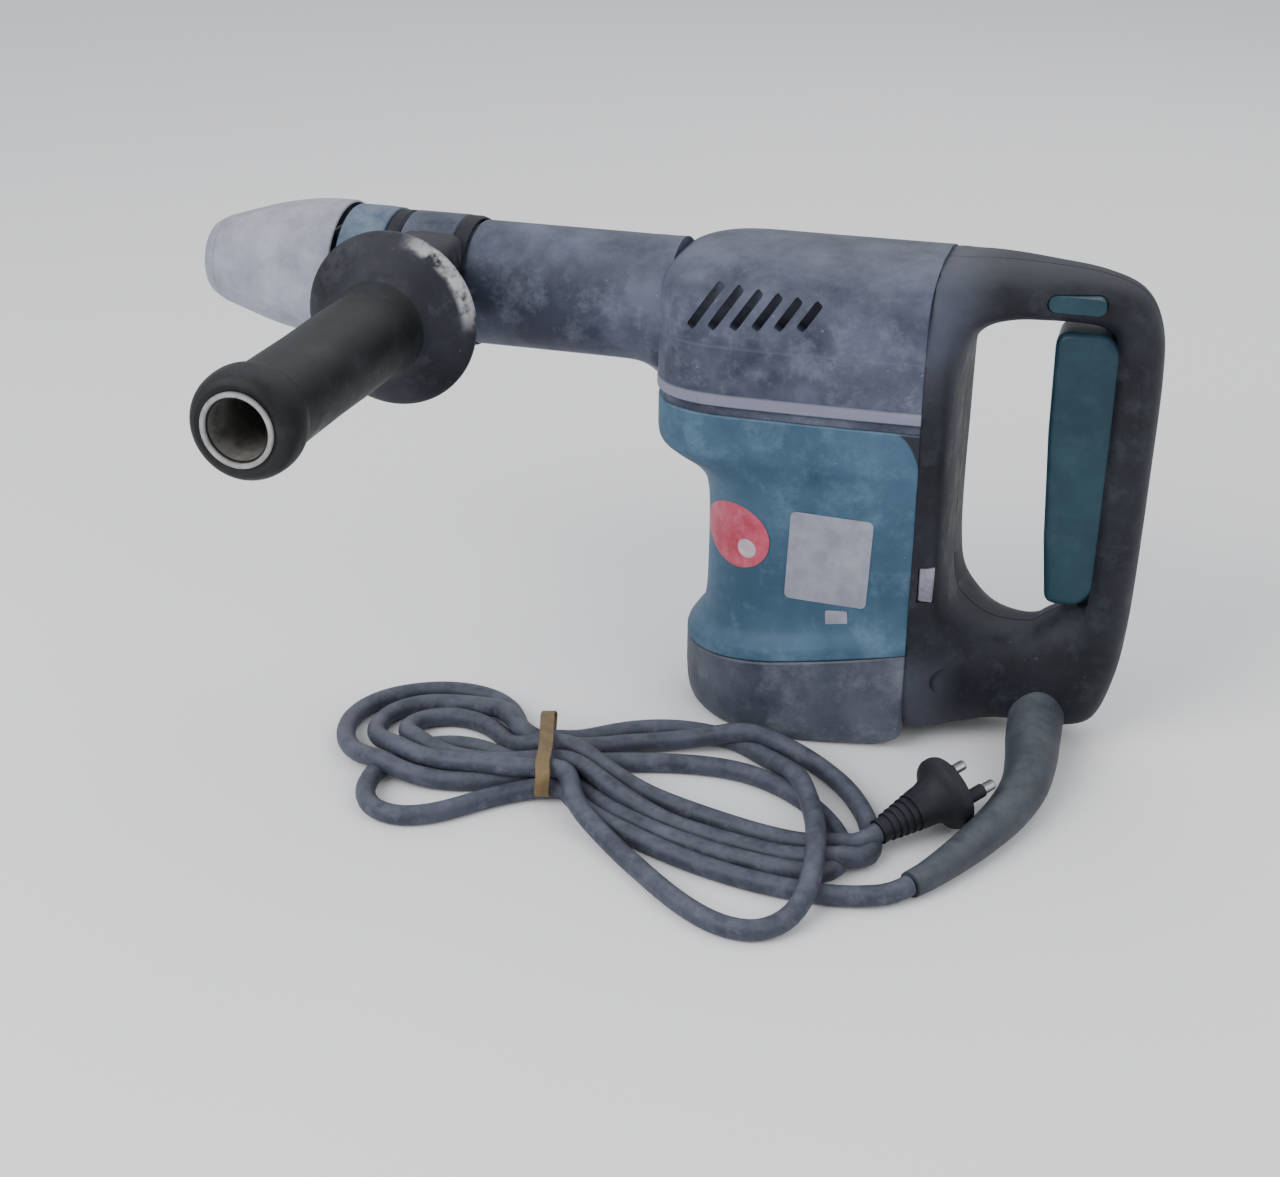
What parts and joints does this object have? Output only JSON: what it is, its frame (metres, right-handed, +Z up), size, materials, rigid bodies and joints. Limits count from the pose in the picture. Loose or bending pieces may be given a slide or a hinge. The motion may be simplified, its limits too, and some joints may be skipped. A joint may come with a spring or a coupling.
{
  "type": "rotary hammer",
  "caption": "Corded rotary hammer with an upright motor, a D-handle with a long paddle trigger, a clamped side handle, a sleeve tool holder and a tied mains lead.",
  "frame": {"origin": "motor axis where it meets the floor, under the flat foot of the base cover", "axes": "+Z up along the motor axis, -X toward the nose along the hammer axis, -Y along the side handle (the tool's left side)"},
  "size_m": [0.4444, 0.2697, 0.23],
  "materials": {
    "slate_plastic": "dusty moulded plastic",
    "teal_plastic": "dusty moulded plastic",
    "dusty_grey_housing": "worn paint under dust",
    "black_plastic": "fine grained moulded plastic",
    "lens": "clear",
    "laminated_steel": "oiled steel",
    "copper": "copper",
    "carbon": "pressed carbon",
    "brass": "satin",
    "aluminium": "cast",
    "steel": "ground",
    "black_rubber": "matt rubber",
    "cord_jacket": "dusty jacket",
    "tan_band": "elastic band",
    "nose_plastic": "scuffed and dusty",
    "blue_plastic": "dusty",
    "pale_plastic": "worn"
  },
  "bodies": {
    "body": {"base_cover": "slate_plastic", "motor_housing": "teal_plastic", "gear_housing": "dusty_grey_housing", "barrel_housing": "dusty_grey_housing", "handle_left": "black_plastic", "handle_right": "black_plastic", "trigger_pin": "steel", "switch_body": "black_plastic", "indicator_lens": "lens", "stator_core": "laminated_steel", "field_coil_1": "copper", "field_coil_2": "copper", "lower_bearing": "steel", "upper_bearing": "steel", "carbon_brush_a": "carbon", "carbon_brush_b": "carbon", "brush_holder_a": "brass", "brush_holder_b": "brass", "gear_case": "aluminium", "gear_case_cover": "aluminium", "crank_bearing": "steel", "spindle_bearing": "steel", "cord_guard": "black_rubber", "power_cord": "cord_jacket", "cord_hank": "cord_jacket", "cord_tie": "tan_band", "plug_body": "black_rubber", "plug_pin_a": "steel", "plug_pin_b": "steel"},
    "armature": {"armature_shaft": "steel", "motor_pinion": "steel", "rotor_core": "laminated_steel", "commutator": "copper", "cooling_fan": "black_plastic"},
    "crank": {"crank_shaft": "steel", "crank_gear": "steel"},
    "bevel_shaft": {"bevel_shaft_gear": "steel", "bevel_pinion": "steel"},
    "spindle": {"tool_holder": "laminated_steel", "spindle_cylinder": "laminated_steel", "spindle_ring_gear": "steel", "locking_roller_a": "steel", "locking_roller_b": "steel", "front_dust_cap": "black_rubber", "sleeve_spring": "steel"},
    "piston": {"piston": "aluminium", "gudgeon_pin": "steel"},
    "rod": {"connecting_rod": "steel", "crank_pin": "steel"},
    "striker": {"striker": "steel"},
    "impact_bolt": {"impact_bolt": "steel"},
    "release_sleeve": {"release_sleeve": "nose_plastic"},
    "angle_ring": {"angle_ring": "blue_plastic"},
    "trigger": {"trigger": "teal_plastic"},
    "lock_button": {"lock_button": "teal_plastic"},
    "side_handle": {"clamp_band": "dusty_grey_housing", "side_handle_base": "black_plastic", "clamp_bolt": "steel"},
    "side_grip": {"side_grip": "black_rubber", "grip_end_ring": "pale_plastic"}
  },
  "joints": [
    {"name": "armature_spin", "type": "hinge", "parent": "body", "child": "armature", "pos_m": [0, 0, 0.07], "axis": [0, 0, 1], "continuous": true},
    {"name": "crank_spin", "type": "hinge", "parent": "body", "child": "crank", "pos_m": [0.0255, 0, 0.15], "axis": [0, 0, 1], "continuous": true},
    {"name": "bevel_shaft_spin", "type": "hinge", "parent": "body", "child": "bevel_shaft", "pos_m": [-0.0255, 0, 0.15], "axis": [0, 0, 1], "continuous": true},
    {"name": "spindle_spin", "type": "hinge", "parent": "body", "child": "spindle", "pos_m": [-0.2, 0, 0.191], "axis": [1, 0, 0], "continuous": true},
    {"name": "piston_slide", "type": "slide", "parent": "body", "child": "piston", "axis": [1, 0, 0], "range_m": [0, 0.026]},
    {"name": "rod_swing", "type": "hinge", "parent": "piston", "child": "rod", "pos_m": [-0.0445, 0, 0.191], "axis": [0, 0, 1], "range_deg": [-12.5, 12.5]},
    {"name": "striker_slide", "type": "slide", "parent": "body", "child": "striker", "axis": [1, 0, 0], "range_m": [-0.014, 0.009]},
    {"name": "impact_bolt_slide", "type": "slide", "parent": "body", "child": "impact_bolt", "axis": [1, 0, 0], "range_m": [-0.004, 0.002]},
    {"name": "release_sleeve_slide", "type": "slide", "parent": "spindle", "child": "release_sleeve", "axis": [1, 0, 0], "range_m": [0, 0.008], "stiffness_N_per_m": 800},
    {"name": "angle_ring_turn", "type": "hinge", "parent": "body", "child": "angle_ring", "pos_m": [-0.21, 0, 0.191], "axis": [1, 0, 0], "continuous": true},
    {"name": "trigger_press", "type": "hinge", "parent": "body", "child": "trigger", "pos_m": [0.125, 0, 0.077], "axis": [0, 1, 0], "range_deg": [0, 3], "stiffness_Nm_per_rad": 4},
    {"name": "lock_button_press", "type": "slide", "parent": "body", "child": "lock_button", "axis": [0, 1, 0], "range_m": [0, 0.003], "stiffness_N_per_m": 600},
    {"name": "side_handle_swing", "type": "hinge", "parent": "body", "child": "side_handle", "pos_m": [-0.175, 0, 0.191], "axis": [1, 0, 0], "range_deg": [-215, 35]},
    {"name": "side_grip_turn", "type": "hinge", "parent": "side_handle", "child": "side_grip", "pos_m": [-0.1745, -0.14, 0.191], "axis": [0, 1, 0], "range_deg": [0, 360]}
  ],
  "couplings": [
    {"joint": "crank_spin", "follows": "armature_spin", "ratio": -0.25},
    {"joint": "bevel_shaft_spin", "follows": "armature_spin", "ratio": -0.25},
    {"joint": "spindle_spin", "follows": "armature_spin", "ratio": 0.083333}
  ]
}
